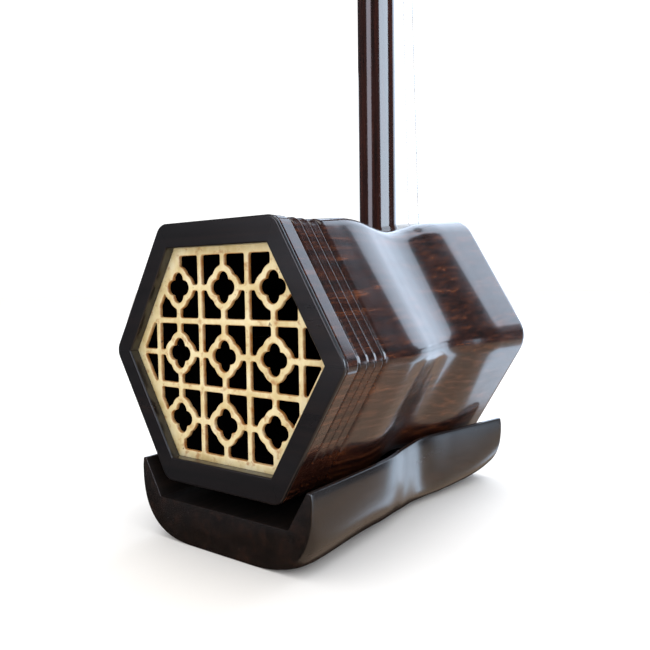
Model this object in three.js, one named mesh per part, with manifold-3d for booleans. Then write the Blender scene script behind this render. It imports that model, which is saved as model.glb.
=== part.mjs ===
// Erhu, a two-stringed bowed fiddle, standing on its cradle base.
// Millimetres, +Z up. The skin faces -Y and the lattice window faces +Y.
// Lengths are set out from the neck's axis, in the plane of the base's flat underside.
// The finished group is moved along Y so that its origin is the centre of that underside.

import * as THREE from "three";
import { mergeVertices } from "three/addons/utils/BufferGeometryUtils.js";
import Module from "manifold-3d";

// ---- Driving dimensions ----

const GAP = 0.3; // clearance between pieces that are glued or pressed together
const SEAM = 0.3; // width of a glue line between two panels
const ROOT3 = Math.sqrt(3);

// Resonator: a hexagonal tube, flats at the top and bottom, its axis along Y.
const BODY_LENGTH = 130;
const BODY_AXIS_Z = 66.5;
const WINDOW_Y = 103; // outer face of the window end
const SKIN_Y = WINDOW_Y - BODY_LENGTH;
// Half the distance across flats, at distances from the window end.
const BODY_PROFILE = [
  [0, 45], [23, 45.2], [31, 45.95], [39, 46.65], [47, 46.45],
  [55, 45.4], [63, 44.4], [71, 43.95], [79, 44.45], [87, 45.95],
  [95, 47.75], [103, 49.15], [112, 50.1], [121, 51], [130, 51.9],
];
const CORNER_RADIUS_WINDOW = 5;
const CORNER_RADIUS_SKIN = 12;
const BULGE_START = 22; // where the turned beads end and the bulge starts
const BEAD_STARTS = [8.2, 12.7, 17.2];
const BEAD_WIDTH = 4;
const BEAD_GROOVE_DEPTH = 0.8;
const BAND_START = 1.4;
const BAND_END = 7.2;
const SKIN_EDGE_ROUND = 1.2;
const WALL = 7;

// Window frame and lattice.
const FRAME_DEPTH = 1.1;
const FRAME_LIP_DEPTH = 3.5;
const OPENING_TOP = 36.5; // half height of the window opening
const OPENING_SIDE = 38; // axis to each slanted side of the opening
const LATTICE_FRONT = 3.8;
const LATTICE_THICKNESS = 1.5;
const LATTICE_OVERLAP = 1.6; // how far the lattice runs behind the frame
const LATTICE_BORDER = 2.6;
const PITCH_X = 21.65;
const PITCH_Z = 22.96;
const BAR_WIDTH = 1.9;
const LOBE_OFFSET = 2.8;
const LOBE_HOLE_RADIUS = 2.5;
const LOBE_RING_WIDTH = 2;
const NODE_CHAMFER = 1.9;

// Neck.
const NECK_RADIUS_LOW = 8.25;
const NECK_RADIUS_HIGH = 7.2;
const NECK_TAPER_START = 125;
const NECK_TAPER_END = 600;
const NECK_FOOT_Z = 6.9;
const NECK_STRAIGHT_TOP = 742;
const HEAD_BEND_RADIUS = 56;
const HEAD_BEND_ANGLE = THREE.MathUtils.degToRad(62);
const HEAD_HALF_WIDTH = 8.4;
const HEAD_HALF_DEPTH = 12.5;
const INLAY_THICKNESS = 3;

// Base.
const BASE_FRONT_Y = -31;
const BASE_RIM_Z = 27.9;
const BASE_LIP = 1.7;
const BASE_FLAT = 0.32; // share of the half width that is flat underneath
const BASE_SIDE_BULGE = 0.4; // the side stands out this much under the rim
// How square the bottom corners are: the power of their superellipse, by distance.
const BASE_FULLNESS = [[0, 2.6], [8, 3.8], [42, 3.4], [85, 5.4], [112, 4.4], [134, 2.7]];
const FLOOR_CLEARANCE = 6.6; // body's bottom flat to the recess floor
// Half width of the rim, at distances from the window end.
const BASE_PROFILE = [[0, 38.4], [42, 38.6], [62, 35.9], [80, 34.2], [100, 37.8], [134, 45.6]];
const MORTISE_DEPTH = 5;
const SCREW_RADIUS = 2.2;
const SCREW_HEAD_RADIUS = 4.2;
const SCREW_HEAD_DEPTH = 2.4;
const SCREW_LENGTH = 27;
const SPACER_RADIUS = 13;

// Skin end.
const SKIN_THICKNESS = 0.8;
const SKIN_INSET = 0.6;
const BRIDGE_Z = 70;
const BRIDGE_HEIGHT = 7.4;
const BRIDGE_FOOT = 7.5;
const BRIDGE_THICKNESS = 4.6;
const FELT_Z = 47;

// Pegs, along Y through the neck. The inner string's peg is the upper one.
const PEG_Z = { inner: 705, outer: 628 };
const PEG_NOSE_RADIUS = { inner: 4.4, outer: 3.2 };
const PEG_SHAFT_RADIUS = 4.7;
const PEG_CLEARANCE = 0.08;
const PEG_NOSE_Y = -33;
const PEG_HANDLE_START = 17;
const PEG_HANDLE_END = 92;
const PEG_CAP_LENGTH = 7;
const WINDING_THICKNESS = 0.8;
const WINDING_Y = { inner: [-24.5, -18.5], outer: [-30, -24] };

// Strings and the thread loop that stops them.
const STRING_RADIUS = { inner: 0.25, outer: 0.16 };
const STRING_SIDE = { inner: -1, outer: 1 };
const LOOP_Z = 455;
const LOOP_HEIGHT = 9;
const LOOP_THREAD = 1.1;
const LOOP_STRING_X = 1.7;
const LOOP_STRING_Y = -20;
const LOOP_REACH = 18; // the strings run straight this far above and below the loop's middle
const NOTCH_X = 2.9;
const PIN_Z = 5.2;
const PIN_RADIUS = 1.5;
const PIN_STRING_Y = -33.8;
const PIN_HEAD_GAP = 1.6;
const PIN_HEAD_LENGTH = 1.6;

// ---- Materials ----

const finish = (color, roughness, metalness = 0) =>
  new THREE.MeshStandardMaterial({ color, roughness, metalness });
const rosewood = finish(0x3b1d14, 0.25);
const darkwood = finish(0x1c1614, 0.4);
const bone = finish(0xe6d6a4, 0.45);
const snakeskin = finish(0x8d8571, 0.5);
const maple = finish(0xc99b5f, 0.5);
const felt = finish(0x6d1f24, 0.95);
const thread = finish(0x5c1216, 0.8);
const steel = finish(0xb9bcc0, 0.3, 1);
const brass = finish(0xb8924a, 0.3, 1);

// ---- Solids: cuts and joins ----

const wasm = await Module();
wasm.setup();

function solid(geometry) {
  const bare = geometry.clone();
  bare.deleteAttribute("normal");
  bare.deleteAttribute("uv");
  const merged = mergeVertices(bare, 1e-4);
  const count = merged.attributes.position.count;
  const triVerts = merged.index
    ? new Uint32Array(merged.index.array)
    : Uint32Array.from({ length: count }, (_, i) => i);
  const mesh = new wasm.Mesh({
    numProp: 3,
    vertProperties: merged.attributes.position.array,
    triVerts,
  });
  return new wasm.Manifold(mesh);
}

function geometryOf(manifold) {
  const mesh = manifold.getMesh();
  const geometry = new THREE.BufferGeometry();
  geometry.setAttribute("position", new THREE.BufferAttribute(mesh.vertProperties, 3));
  geometry.setIndex(new THREE.BufferAttribute(mesh.triVerts, 1));
  const flat = geometry.toNonIndexed();
  flat.computeVertexNormals();
  return flat;
}

// A closed solid through rings of equal point counts, with flat ends.
function loft(rings) {
  const size = rings[0].length;
  const positions = rings.flat().flatMap((p) => [p.x, p.y, p.z]);
  const index = [];
  for (let i = 0; i + 1 < rings.length; i++) {
    for (let j = 0; j < size; j++) {
      const a = i * size + j;
      const b = i * size + ((j + 1) % size);
      index.push(a, b, b + size, a, b + size, a + size);
    }
  }
  const last = (rings.length - 1) * size;
  for (const [a, b, c] of capTriangles(rings[0])) index.push(a, c, b);
  for (const [a, b, c] of capTriangles(rings.at(-1))) index.push(last + a, last + b, last + c);
  const geometry = new THREE.BufferGeometry();
  geometry.setAttribute("position", new THREE.Float32BufferAttribute(positions, 3));
  geometry.setIndex(index);
  return facingOut(geometry);
}

// A flat ring's triangles, turned the way that the ring runs.
function capTriangles(ring) {
  const normal = new THREE.Vector3();
  ring.forEach((p, i) => normal.add(new THREE.Vector3().crossVectors(p, ring[(i + 1) % ring.length])));
  const turn = new THREE.Quaternion().setFromUnitVectors(normal.normalize(), new THREE.Vector3(0, 0, 1));
  const flat = ring.map((p) => p.clone().applyQuaternion(turn));
  return THREE.ShapeUtils.triangulateShape(flat.map((p) => new THREE.Vector2(p.x, p.y)), []);
}

// The same mesh with its faces turned round if they point inwards.
function facingOut(geometry) {
  const p = geometry.attributes.position;
  const index = geometry.index.array;
  const corner = [0, 1, 2].map(() => new THREE.Vector3());
  let volume = 0;
  for (let i = 0; i < index.length; i += 3) {
    corner.forEach((v, k) => v.fromBufferAttribute(p, index[i + k]));
    volume += corner[0].dot(corner[1].cross(corner[2]));
  }
  if (volume < 0) {
    for (let i = 0; i < index.length; i += 3) [index[i], index[i + 1]] = [index[i + 1], index[i]];
  }
  return geometry;
}

// An outline in X and Z, given depth along Y from yFrom down to yTo.
function extrudeY(shape, yFrom, yTo, curveSegments = 6) {
  const options = { depth: yFrom - yTo, bevelEnabled: false, curveSegments };
  const geometry = new THREE.ExtrudeGeometry(shape, options);
  return geometry.rotateX(Math.PI / 2).translate(0, yFrom, 0);
}

// An outline in X and Y, given height along Z.
function extrudeZ(shape, zFrom, zTo, curveSegments = 6) {
  const options = { depth: zTo - zFrom, bevelEnabled: false, curveSegments };
  return new THREE.ExtrudeGeometry(shape, options).translate(0, 0, zFrom);
}

function cylinderY(radius, yFrom, yTo, x, z, sides = 20) {
  const geometry = new THREE.CylinderGeometry(radius, radius, Math.abs(yTo - yFrom), sides);
  return geometry.translate(x, (yFrom + yTo) / 2, z);
}

function cylinderZ(radius, zFrom, zTo, sides = 24) {
  const geometry = new THREE.CylinderGeometry(radius, radius, zTo - zFrom, sides);
  return geometry.rotateX(Math.PI / 2).translate(0, 0, (zFrom + zTo) / 2);
}

// A turned piece on an axis along Y: points are [radius, y].
function turnedY(points, sides, z = 0) {
  const profile = points.map(([radius, y]) => new THREE.Vector2(radius, y));
  return new THREE.LatheGeometry(profile, sides).translate(0, 0, z);
}

function box(x0, x1, y0, y1, z0, z1) {
  const geometry = new THREE.BoxGeometry(x1 - x0, y1 - y0, z1 - z0);
  return geometry.translate((x0 + x1) / 2, (y0 + y1) / 2, (z0 + z1) / 2);
}

// ---- Resonator outline ----

const smooth = (points) => new THREE.SplineCurve(points.map(([x, y]) => new THREE.Vector2(x, y)));
const bodyCurve = smooth(BODY_PROFILE.slice(1));
const baseCurve = smooth(BASE_PROFILE);
const fullnessCurve = smooth(BASE_FULLNESS);

// A spline's height at x, where x never turns back along it.
function heightAt(curve, x) {
  let low = 0;
  let high = 1;
  for (let i = 0; i < 30; i++) {
    const middle = (low + high) / 2;
    if (curve.getPoint(middle).x < x) low = middle;
    else high = middle;
  }
  return curve.getPoint(low).y;
}

const bodyApothem = (t) => (t < BULGE_START + 1 ? 45 : heightAt(bodyCurve, Math.min(t, BODY_LENGTH)));

function cornerRadius(t) {
  const share = THREE.MathUtils.clamp((t - BULGE_START) / (BODY_LENGTH - BULGE_START), 0, 1);
  return THREE.MathUtils.lerp(CORNER_RADIUS_WINDOW, CORNER_RADIUS_SKIN, share);
}

// A hexagon with rounded corners, as points in X and Z about the body's axis.
function hexagonPoints(top, side, radius, cornerSteps) {
  const across = (side - radius - (top - radius) / 2) / (ROOT3 / 2);
  const corners = [
    [(side - radius) / (ROOT3 / 2), 0],
    [across, top - radius],
    [-across, top - radius],
    [-(side - radius) / (ROOT3 / 2), 0],
    [-across, radius - top],
    [across, radius - top],
  ];
  const points = [];
  corners.forEach(([x, z], k) => {
    for (let i = 0; i <= cornerSteps; i++) {
      const angle = (Math.PI / 3) * (k - 0.5 + i / Math.max(cornerSteps, 1));
      points.push(new THREE.Vector2(x + radius * Math.cos(angle), z + radius * Math.sin(angle)));
      if (cornerSteps === 0) break;
    }
  });
  return points;
}

const hexagonRing = (t, apothem, radius, steps) =>
  hexagonPoints(apothem, apothem, radius, steps).map(
    (p) => new THREE.Vector3(p.x, WINDOW_Y - t, BODY_AXIS_Z + p.y),
  );

// Sharp-cornered hexagonal prism between two distances from the window end.
function hexagonPrism(top, side, tFrom, tTo, radius = 0.01) {
  const ring = hexagonPoints(top, side, radius, radius > 1 ? 4 : 0);
  const shape = new THREE.Shape(ring);
  return extrudeY(shape, WINDOW_Y - tFrom, WINDOW_Y - tTo).translate(0, 0, BODY_AXIS_Z);
}

// The six sides, by the direction that each one faces.
const SIDES = [
  ["top", 90],
  ["upper_right", 30],
  ["lower_right", -30],
  ["bottom", -90],
  ["lower_left", -150],
  ["upper_left", 150],
];

// The wedge that one side of the hexagon fills, half a seam inside its mitres.
function sideWedge(degrees) {
  const reach = 80;
  const start = SEAM; // along the side's own direction, where the two mitres meet
  const half = (reach - start) / ROOT3;
  const direction = THREE.MathUtils.degToRad(degrees);
  const place = (along, across) =>
    new THREE.Vector2(along, across).rotateAround(new THREE.Vector2(), direction);
  const shape = new THREE.Shape([place(start, 0), place(reach, -half), place(reach, half)]);
  return solid(extrudeY(shape, WINDOW_Y + 5, SKIN_Y - 5).translate(0, 0, BODY_AXIS_Z));
}

// ---- Resonator pieces ----

// Distances and half widths along the outside, with the band and the beads.
function outerStations() {
  const stations = [[BAND_START, 45], [BAND_END, 45]];
  for (const start of BEAD_STARTS) {
    stations.push([start - 0.5, 45 - BEAD_GROOVE_DEPTH]);
    stations.push([start + 0.4, 45]);
    stations.push([start + BEAD_WIDTH - 0.6, 45]);
  }
  stations.push([BULGE_START - 0.6, 45 - BEAD_GROOVE_DEPTH]);
  const steps = 18;
  for (let i = 0; i <= steps; i++) {
    const t = THREE.MathUtils.lerp(BULGE_START + 1, BODY_LENGTH - SKIN_EDGE_ROUND, i / steps);
    stations.push([t, bodyApothem(t)]);
  }
  stations.push([BODY_LENGTH, bodyApothem(BODY_LENGTH) - SKIN_EDGE_ROUND]);
  return stations;
}

function bodyTube() {
  const cornerSteps = 4;
  const outer = loft(outerStations().map(([t, a]) => hexagonRing(t, a, cornerRadius(t), cornerSteps)));
  const hollowStations = [-1, 41, 71, 103, BODY_LENGTH + 1];
  const hollow = loft(hollowStations.map((t) => {
    const station = THREE.MathUtils.clamp(t, 0, BODY_LENGTH);
    return hexagonRing(t, bodyApothem(station) - WALL, 0.01, 0);
  }));
  const rebate = hexagonPrism(
    OPENING_TOP + LATTICE_OVERLAP + GAP,
    OPENING_SIDE + LATTICE_OVERLAP + GAP,
    -1,
    LATTICE_FRONT + LATTICE_THICKNESS + GAP,
  );
  return solid(outer).subtract(solid(hollow)).subtract(solid(rebate));
}

function bodyPanels() {
  const tube = bodyTube();
  const neckHole = solid(cylinderZ(NECK_RADIUS_LOW + GAP, 0, 150, 28));
  return SIDES.map(([name, degrees]) => {
    let panel = tube.intersect(sideWedge(degrees));
    if (name === "top" || name === "bottom") panel = panel.subtract(neckHole);
    return [`side_panel_${name}`, geometryOf(panel), rosewood];
  });
}

function windowFrame() {
  const face = solid(hexagonPrism(45, 45, 0, FRAME_DEPTH, CORNER_RADIUS_WINDOW));
  const lip = solid(hexagonPrism(OPENING_TOP + 1.4, OPENING_SIDE + 1.4, FRAME_DEPTH - 0.5, FRAME_LIP_DEPTH));
  const opening = solid(hexagonPrism(OPENING_TOP, OPENING_SIDE, -1, FRAME_LIP_DEPTH + 1));
  const ring = face.add(lip).subtract(opening);
  return SIDES.map(([name, degrees]) => {
    const strip = ring.intersect(sideWedge(degrees));
    return [`window_frame_${name}`, geometryOf(strip), darkwood];
  });
}

// ---- Lattice window ----

function rectangle(x0, x1, z0, z1) {
  const points = [[x0, z0], [x1, z0], [x1, z1], [x0, z1]];
  return new THREE.Shape(points.map(([x, z]) => new THREE.Vector2(x, z)));
}

function diamond(x, z, half) {
  const points = [[x - half, z], [x, z - half], [x + half, z], [x, z + half]];
  return new THREE.Shape(points.map(([px, pz]) => new THREE.Vector2(px, pz)));
}

// Four lobes about (x, z) as one outline of arcs.
function quatrefoil(x, z, lobeRadius) {
  const shape = new THREE.Shape();
  const reach = Math.acos(LOBE_OFFSET / Math.SQRT2 / lobeRadius) - Math.PI / 4;
  const half = Math.PI / 2 + Math.max(-0.7, -reach);
  for (let k = 0; k < 4; k++) {
    const out = (k * Math.PI) / 2;
    const cx = x + LOBE_OFFSET * Math.cos(out);
    const cz = z + LOBE_OFFSET * Math.sin(out);
    shape.absarc(cx, cz, lobeRadius, out - half, out + half, false);
  }
  shape.closePath();
  return shape;
}

function lattice() {
  const from = WINDOW_Y - LATTICE_FRONT;
  const to = from - LATTICE_THICKNESS;
  const slab = (shape, spare = 0, arcs = 2) =>
    solid(extrudeY(shape, from + spare, to - spare, arcs).translate(0, 0, BODY_AXIS_Z));
  const topEdge = OPENING_TOP + LATTICE_OVERLAP;
  const sideEdge = OPENING_SIDE + LATTICE_OVERLAP;
  const plate = solid(hexagonPrism(topEdge, sideEdge, LATTICE_FRONT, LATTICE_FRONT + LATTICE_THICKNESS));
  const window = solid(hexagonPrism(OPENING_TOP - LATTICE_BORDER, OPENING_SIDE - LATTICE_BORDER,
    LATTICE_FRONT - 1, LATTICE_FRONT + LATTICE_THICKNESS + 1));
  const half = BAR_WIDTH / 2;
  const bars = [];
  for (const column of [-1.5, -1, -0.5, 0, 0.5, 1, 1.5]) {
    const x = column * PITCH_X;
    bars.push(slab(rectangle(x - half, x + half, -topEdge, topEdge)));
  }
  for (const row of [-1, -0.5, 0, 0.5, 1]) {
    const z = row * PITCH_Z;
    bars.push(slab(rectangle(-sideEdge - 9, sideEdge + 9, z - half, z + half)));
  }
  for (const x of [-1.5, -0.5, 0.5, 1.5]) {
    for (const z of [-1, -0.5, 0, 0.5, 1]) bars.push(slab(diamond(x * PITCH_X, z * PITCH_Z, NODE_CHAMFER)));
  }
  const holes = [];
  for (const column of [-1, 0, 1]) {
    for (const row of [-1, 0, 1]) {
      const x = column * PITCH_X;
      const z = row * PITCH_Z;
      for (const side of [-0.5, 0.5]) bars.push(slab(diamond(x, z + side * PITCH_Z, NODE_CHAMFER)));
      bars.push(slab(quatrefoil(x, z, LOBE_HOLE_RADIUS + LOBE_RING_WIDTH)));
      holes.push(slab(quatrefoil(x, z, LOBE_HOLE_RADIUS), 1));
    }
  }
  const grille = wasm.Manifold.union(bars).subtract(wasm.Manifold.union(holes));
  return geometryOf(plate.subtract(window).add(plate.intersect(grille)));
}

// ---- Skin end ----

function skin() {
  const apothem = bodyApothem(BODY_LENGTH) - SKIN_EDGE_ROUND - SKIN_INSET;
  const from = BODY_LENGTH + GAP;
  return hexagonPrism(apothem, apothem, from, from + SKIN_THICKNESS, CORNER_RADIUS_SKIN);
}

const SKIN_FACE_Y = SKIN_Y - GAP - SKIN_THICKNESS;
const NOTCH_Y = SKIN_FACE_Y - GAP - BRIDGE_HEIGHT;

// Two feet with an arch between them, and two notches in the crest.
function bridge() {
  const feet = SKIN_FACE_Y - GAP;
  const crest = NOTCH_Y;
  const notch = 0.6;
  const shape = new THREE.Shape();
  shape.moveTo(-BRIDGE_FOOT, feet);
  shape.lineTo(-BRIDGE_FOOT + 4, feet);
  shape.absarc(0, feet, BRIDGE_FOOT - 4, Math.PI, 0, false);
  shape.lineTo(BRIDGE_FOOT, feet);
  shape.lineTo(BRIDGE_FOOT - 1, feet - 2);
  shape.lineTo(BRIDGE_FOOT - 2.5, crest);
  for (const x of [NOTCH_X, -NOTCH_X]) {
    shape.lineTo(x + notch, crest);
    shape.lineTo(x, crest + notch);
    shape.lineTo(x - notch, crest);
  }
  shape.lineTo(-BRIDGE_FOOT + 2.5, crest);
  shape.lineTo(-BRIDGE_FOOT + 1, feet - 2);
  shape.closePath();
  const half = BRIDGE_THICKNESS / 2;
  return extrudeZ(shape, BRIDGE_Z - half, BRIDGE_Z + half);
}

function damperFelt() {
  const stringY = PIN_STRING_Y - 1;
  return box(-11, 11, stringY + 1.3, SKIN_FACE_Y - GAP, FELT_Z - 7, FELT_Z + 7);
}

// ---- Neck ----

const neckRadius = (z) =>
  THREE.MathUtils.lerp(
    NECK_RADIUS_LOW,
    NECK_RADIUS_HIGH,
    THREE.MathUtils.smoothstep(z, NECK_TAPER_START, NECK_TAPER_END),
  );

// An oval ring across the head's centre line, at an angle round its bend.
function headRing(angle, halfWidth, halfDepth) {
  const sides = 24;
  const ring = [];
  const back = HEAD_BEND_RADIUS * (1 - Math.cos(angle));
  const up = NECK_STRAIGHT_TOP + HEAD_BEND_RADIUS * Math.sin(angle);
  for (let i = 0; i < sides; i++) {
    const turn = (2 * Math.PI * i) / sides;
    const depth = halfDepth * Math.sin(turn);
    const x = halfWidth * Math.cos(turn);
    ring.push(new THREE.Vector3(x, back + depth * Math.cos(angle), up - depth * Math.sin(angle)));
  }
  return ring;
}

const roundRing = (z, radius) => headRing(0, radius, radius).map((p) => p.setZ(z));

function headSize(share) {
  return [
    THREE.MathUtils.lerp(NECK_RADIUS_HIGH, HEAD_HALF_WIDTH, share),
    THREE.MathUtils.lerp(NECK_RADIUS_HIGH, HEAD_HALF_DEPTH, share),
  ];
}

function neck() {
  const rings = [roundRing(NECK_FOOT_Z, NECK_RADIUS_LOW)];
  for (const z of [NECK_TAPER_START, 240, 340, 430, 480, 560, NECK_TAPER_END, 700]) {
    rings.push(roundRing(z, neckRadius(z)));
  }
  const steps = 9;
  for (let i = 0; i <= steps; i++) {
    rings.push(headRing((HEAD_BEND_ANGLE * i) / steps, ...headSize(i / steps)));
  }
  let piece = solid(loft(rings));
  for (const string of ["inner", "outer"]) {
    const hole = cylinderY(PEG_SHAFT_RADIUS + PEG_CLEARANCE, -20, 20, 0, PEG_Z[string], 24);
    piece = piece.subtract(solid(hole));
  }
  const pilot = cylinderZ(SCREW_RADIUS + GAP, 0, SCREW_HEAD_DEPTH + SCREW_LENGTH + 1, 14);
  return geometryOf(piece.subtract(solid(pilot)));
}

// The plate on the cut end of the head.
function headInlay() {
  const size = headSize(1);
  const along = new THREE.Vector3(0, Math.sin(HEAD_BEND_ANGLE), Math.cos(HEAD_BEND_ANGLE));
  const ringAt = (distance, inset) =>
    headRing(HEAD_BEND_ANGLE, size[0] - inset, size[1] - inset).map((p) => p.addScaledVector(along, distance));
  return loft([ringAt(GAP, 0), ringAt(GAP + INLAY_THICKNESS - 1, 0), ringAt(GAP + INLAY_THICKNESS, 1)]);
}

// ---- Base ----

const floorHeight = (t) => BODY_AXIS_Z - bodyApothem(Math.min(t, BODY_LENGTH)) - FLOOR_CLEARANCE;

// The cradle's outline at one station: rounded underneath, hollowed on top.
function baseRing(t) {
  const y = WINDOW_Y - t;
  const halfWidth = heightAt(baseCurve, t);
  const floor = floorHeight(t);
  const power = heightAt(fullnessCurve, t);
  const side = halfWidth + BASE_SIDE_BULGE;
  const crest = BASE_RIM_Z - 3;
  const half = [];
  const steps = 9;
  const start = halfWidth * BASE_FLAT;
  for (let i = 0; i <= steps; i++) {
    const share = Math.sin((Math.PI / 2) * (i / steps));
    const rise = 1 - (1 - share ** power) ** (1 / power);
    half.push([THREE.MathUtils.lerp(start, side, share), crest * rise]);
  }
  half.push([halfWidth, BASE_RIM_Z]);
  half.push([halfWidth - BASE_LIP, BASE_RIM_Z]);
  half.push([halfWidth - BASE_LIP - (BASE_RIM_Z - floor) / ROOT3, floor]);
  const mirrored = half.map(([x, z]) => [-x, z]).reverse();
  return [...half, ...mirrored].map(([x, z]) => new THREE.Vector3(x, y, z));
}

function base() {
  const steps = 16;
  const length = WINDOW_Y - BASE_FRONT_Y;
  const rings = [baseRing(0), baseRing(3)];
  for (let i = 1; i <= steps; i++) rings.push(baseRing((length * i) / steps));
  const floor = floorHeight(WINDOW_Y);
  const cuts = [
    cylinderZ(NECK_RADIUS_LOW + GAP, floor - MORTISE_DEPTH, 40, 28),
    cylinderZ(SCREW_RADIUS + GAP, -1, floor, 14),
    cylinderZ(SCREW_HEAD_RADIUS + GAP, -1, SCREW_HEAD_DEPTH + GAP, 20),
    cylinderY(PIN_RADIUS + GAP, BASE_FRONT_Y - 1, BASE_FRONT_Y + 9, 0, PIN_Z, 14),
  ];
  return geometryOf(cuts.reduce((piece, cut) => piece.subtract(solid(cut)), solid(loft(rings))));
}

function baseScrew() {
  const head = cylinderZ(SCREW_HEAD_RADIUS, 0.3, SCREW_HEAD_DEPTH, 20);
  const shank = cylinderZ(SCREW_RADIUS, 1, SCREW_HEAD_DEPTH + SCREW_LENGTH, 14);
  const slot = box(-6, 6, -0.5, 0.5, -1, 1.2);
  return geometryOf(solid(head).add(solid(shank)).subtract(solid(slot)));
}

// The collar round the neck that carries the body clear of the base. Its ends
// follow the slopes of the recess floor and of the body's bottom flat.
function baseSpacer() {
  const spare = GAP + 0.1;
  const ringAt = (heightOf) => {
    const ring = [];
    for (let i = 0; i < 28; i++) {
      const angle = (2 * Math.PI * i) / 28;
      const y = SPACER_RADIUS * Math.sin(angle);
      ring.push(new THREE.Vector3(SPACER_RADIUS * Math.cos(angle), y, heightOf(WINDOW_Y - y)));
    }
    return ring;
  };
  const low = ringAt((t) => floorHeight(t) + spare);
  const high = ringAt((t) => BODY_AXIS_Z - bodyApothem(t) - spare);
  const bore = cylinderZ(NECK_RADIUS_LOW + GAP, 0, 40, 28);
  return geometryOf(solid(loft([low, high])).subtract(solid(bore)));
}

// A headed pin in the base's front end, for the strings' loops.
function stringPin() {
  const tip = BASE_FRONT_Y + 8;
  const shoulder = PIN_STRING_Y - PIN_HEAD_GAP;
  const points = [
    [0, shoulder - PIN_HEAD_LENGTH],
    [1.7, shoulder - PIN_HEAD_LENGTH + 0.2],
    [2.4, shoulder - 0.8],
    [2.4, shoulder - 0.2],
    [PIN_RADIUS, shoulder],
    [PIN_RADIUS, tip],
    [0, tip],
  ];
  return turnedY(points, 14, PIN_Z);
}

// ---- Pegs ----

function peg(string) {
  const nose = PEG_NOSE_RADIUS[string];
  const points = [
    [0, PEG_NOSE_Y],
    [nose - 0.5, PEG_NOSE_Y],
    [nose, PEG_NOSE_Y + 0.8],
    [nose, -14],
    [PEG_SHAFT_RADIUS, -10],
    [PEG_SHAFT_RADIUS, 10],
    [6, 12],
    [6.6, PEG_HANDLE_START - 1],
    [5.6, PEG_HANDLE_START + 3],
    [7.2, PEG_HANDLE_START + 14],
    [10.6, PEG_HANDLE_START + 40],
    [11.6, PEG_HANDLE_START + 58],
    [10.8, PEG_HANDLE_END - 7],
    [8.4, PEG_HANDLE_END],
    [0, PEG_HANDLE_END],
  ];
  return turnedY(points, 24, PEG_Z[string]);
}

function pegCap(string) {
  const start = PEG_HANDLE_END + GAP;
  const points = [
    [0, start],
    [7.6, start],
    [8, start + 1.5],
    [7.2, start + 4],
    [4.4, start + PEG_CAP_LENGTH - 0.6],
    [0, start + PEG_CAP_LENGTH],
  ];
  return turnedY(points, 20, PEG_Z[string]);
}

// Turns of string round the peg, as one sleeve.
function winding(string) {
  const [from, to] = WINDING_Y[string];
  const inside = PEG_NOSE_RADIUS[string] + GAP;
  const outside = inside + WINDING_THICKNESS;
  const points = [[inside, from], [outside, from], [outside, to], [inside, to], [inside, from]];
  return turnedY(points, 20, PEG_Z[string]);
}

// ---- Thread loop and strings ----

// The outline round two circles on the Y axis and the tangents between them.
function loopOutline(neckR, frontR, frontY) {
  const lean = Math.asin((neckR - frontR) / Math.abs(frontY));
  const shape = new THREE.Shape();
  shape.absarc(0, 0, neckR, -lean, Math.PI + lean, false);
  shape.absarc(0, frontY, frontR, Math.PI + lean, 2 * Math.PI - lean, false);
  shape.closePath();
  return shape;
}

function threadLoop() {
  const inside = neckRadius(LOOP_Z - 30) + GAP;
  const front = LOOP_STRING_X + 1;
  const frontY = LOOP_STRING_Y + 1.5;
  const shape = loopOutline(inside + LOOP_THREAD, front + LOOP_THREAD, frontY);
  shape.holes.push(new THREE.Path(loopOutline(inside, front, frontY).getPoints(10)));
  return extrudeZ(shape, LOOP_Z - LOOP_HEIGHT / 2, LOOP_Z + LOOP_HEIGHT / 2, 10);
}

// Where one string runs: peg, thread loop, bridge notch, pin.
function stringRoute(string) {
  const side = STRING_SIDE[string];
  const radius = STRING_RADIUS[string];
  const clear = GAP + radius;
  const [from, to] = WINDING_Y[string];
  const pegX = PEG_NOSE_RADIUS[string] + GAP + WINDING_THICKNESS + clear;
  return [
    new THREE.Vector3(side * pegX, (from + to) / 2, PEG_Z[string]),
    new THREE.Vector3(side * LOOP_STRING_X, LOOP_STRING_Y, LOOP_Z + LOOP_REACH),
    new THREE.Vector3(side * LOOP_STRING_X, LOOP_STRING_Y, LOOP_Z - LOOP_REACH),
    new THREE.Vector3(side * NOTCH_X, NOTCH_Y - clear, BRIDGE_Z),
    new THREE.Vector3(side * (PIN_RADIUS + clear), PIN_STRING_Y, PIN_Z),
  ];
}

// A taut string: straight runs that meet at mitred eight-sided rings.
function string(name) {
  const route = stringRoute(name);
  const rings = route.map((point) => {
    const ring = [];
    for (let k = 0; k < 8; k++) {
      const angle = (Math.PI / 4) * k;
      const offset = new THREE.Vector3(Math.cos(angle), Math.sin(angle), 0);
      ring.push(point.clone().addScaledVector(offset, STRING_RADIUS[name]));
    }
    return ring;
  });
  return loft(rings);
}

// ---- Assembly ----

function add(group, name, geometry, material) {
  const mesh = new THREE.Mesh(geometry, material);
  mesh.name = name;
  group.add(mesh);
  return mesh;
}

const erhu = new THREE.Group();
const panels = bodyPanels();
for (const [name, geometry, material] of [...panels, ...windowFrame()]) {
  add(erhu, name, geometry, material);
}
add(erhu, "window_lattice", lattice(), bone);
add(erhu, "python_skin", skin(), snakeskin);
add(erhu, "bridge", bridge(), maple);
add(erhu, "damper_felt", damperFelt(), felt);
add(erhu, "neck", neck(), rosewood);
add(erhu, "head_inlay", headInlay(), bone);

add(erhu, "base", base(), darkwood);
add(erhu, "base_screw", baseScrew(), brass);
add(erhu, "base_spacer", baseSpacer(), darkwood);
add(erhu, "string_pin", stringPin(), brass);
add(erhu, "thread_loop", threadLoop(), thread);

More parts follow.
